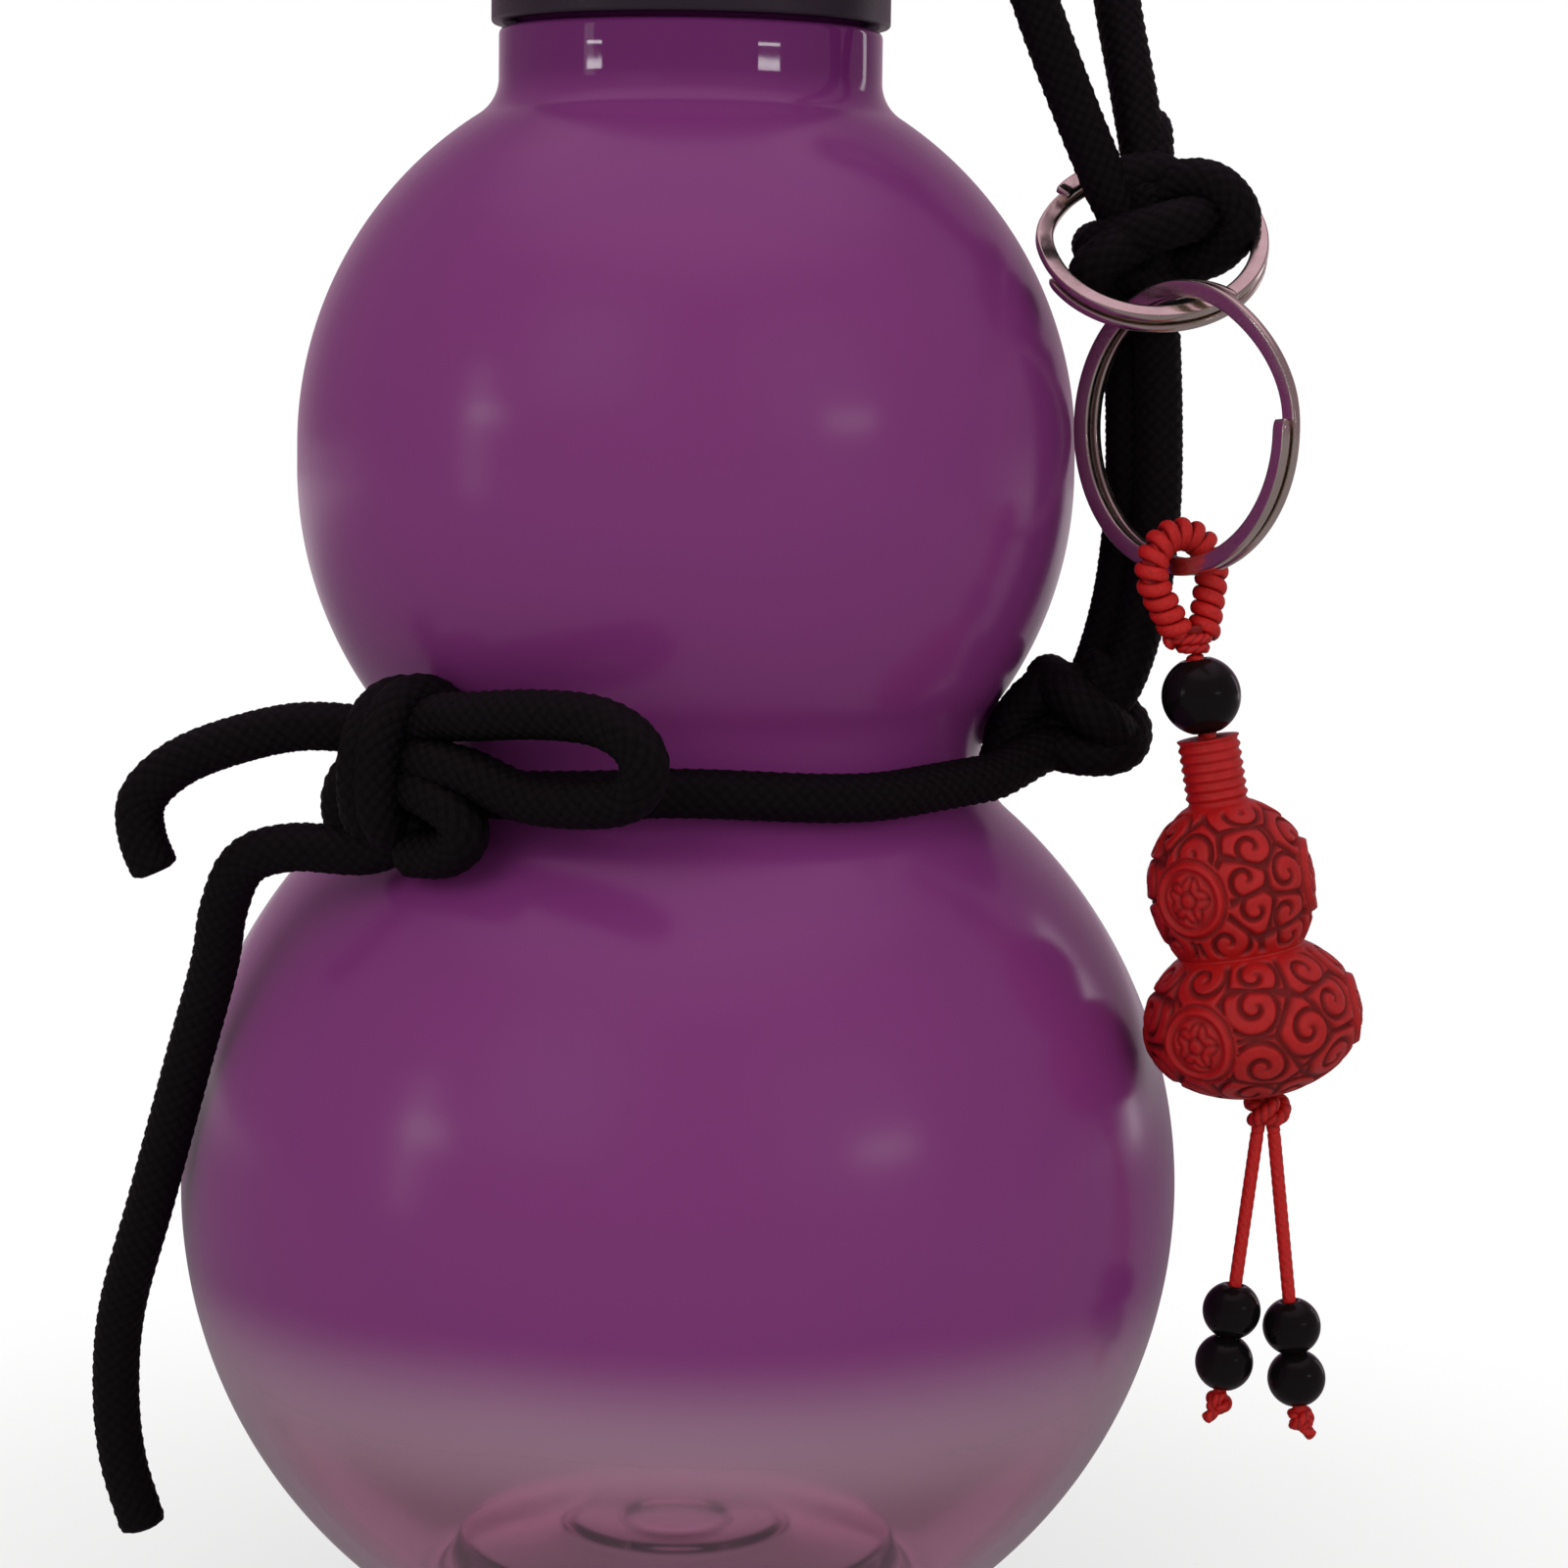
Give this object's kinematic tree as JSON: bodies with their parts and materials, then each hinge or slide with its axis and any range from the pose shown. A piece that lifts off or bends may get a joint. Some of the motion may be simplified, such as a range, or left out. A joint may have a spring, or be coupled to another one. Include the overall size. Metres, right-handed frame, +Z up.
{
  "type": "gourd water bottle",
  "caption": "Translucent double-bulb gourd bottle with a screw cap, a black cord tied round its waist, split rings and a carved gourd charm with tassel cords.",
  "frame": {"origin": "centre of the standing ring, on the surface that the bottle stands on", "axes": "+Z up along the bottle's axis, -Y towards the viewer, +X the side that carries the charm"},
  "size_m": [0.1319, 0.106, 0.1996],
  "materials": {
    "bottle_plastic": "gloss",
    "cap_plastic": "satin",
    "seal_rubber": "matte",
    "black_cord": "woven",
    "ring_steel": "polished",
    "red_cord": "woven",
    "black_bead": "gloss",
    "red_lacquer": "satin"
  },
  "bodies": {
    "bottle": {"bottle_shell": "bottle_plastic", "waist_cord": "black_cord", "bow_knot": "black_cord", "bow_loop": "black_cord", "upper_tail": "black_cord", "lower_tail": "black_cord", "waist_knot": "black_cord", "riser_strand_back": "black_cord", "riser_strand_front": "black_cord", "ring_knot": "black_cord", "strap_loop": "black_cord", "upper_split_ring": "ring_steel"},
    "seal": {"cap_seal": "seal_rubber"},
    "cap": {"cap_shell": "cap_plastic"},
    "lower_ring": {"lower_split_ring": "ring_steel"},
    "charm_string": {"charm_loop": "red_cord", "loop_wrap": "red_cord", "charm_bead": "black_bead", "charm_cord": "red_cord", "charm_knot": "red_cord"},
    "charm": {"charm_gourd": "red_lacquer"},
    "tassel_left": {"tassel_cord_left": "red_cord", "bead_left_upper": "black_bead", "bead_left_lower": "black_bead", "end_knot_left": "red_cord"},
    "tassel_right": {"tassel_cord_right": "red_cord", "bead_right_upper": "black_bead", "bead_right_lower": "black_bead", "end_knot_right": "red_cord"}
  },
  "joints": [
    {"name": "cap_rise", "type": "slide", "parent": "bottle", "child": "seal", "axis": [0, 0, 1], "range_m": [0, 0.012]},
    {"name": "cap_turn", "type": "hinge", "parent": "seal", "child": "cap", "pos_m": [0, 0, 0.1673], "axis": [0, 0, 1], "range_deg": [0, 720]},
    {"name": "lower_ring_swing", "type": "hinge", "parent": "bottle", "child": "lower_ring", "pos_m": [0.05063, -0.01788, 0.13782], "axis": [-0.9613, -0.1949, -0.1949], "range_deg": [0, 40]},
    {"name": "charm_swing", "type": "hinge", "parent": "lower_ring", "child": "charm_string", "pos_m": [0.05063, -0.01788, 0.11262], "axis": [0.6428, -0.766, 0], "range_deg": [0, 30]},
    {"name": "charm_spin", "type": "hinge", "parent": "charm_string", "child": "charm", "pos_m": [0.05063, -0.01788, 0.11262], "axis": [-0.1781, 0, 0.984], "continuous": true},
    {"name": "tassel_left_swing", "type": "hinge", "parent": "charm_string", "child": "tassel_left", "pos_m": [0.0598, -0.01788, 0.05411], "axis": [0, 1, 0], "range_deg": [0, 12]},
    {"name": "tassel_right_swing", "type": "hinge", "parent": "charm_string", "child": "tassel_right", "pos_m": [0.0616, -0.01788, 0.05411], "axis": [0, -1, 0], "range_deg": [0, 40]}
  ],
  "couplings": [
    {"joint": "cap_rise", "follows": "cap_turn", "m_per_rad": 0.00095493}
  ]
}
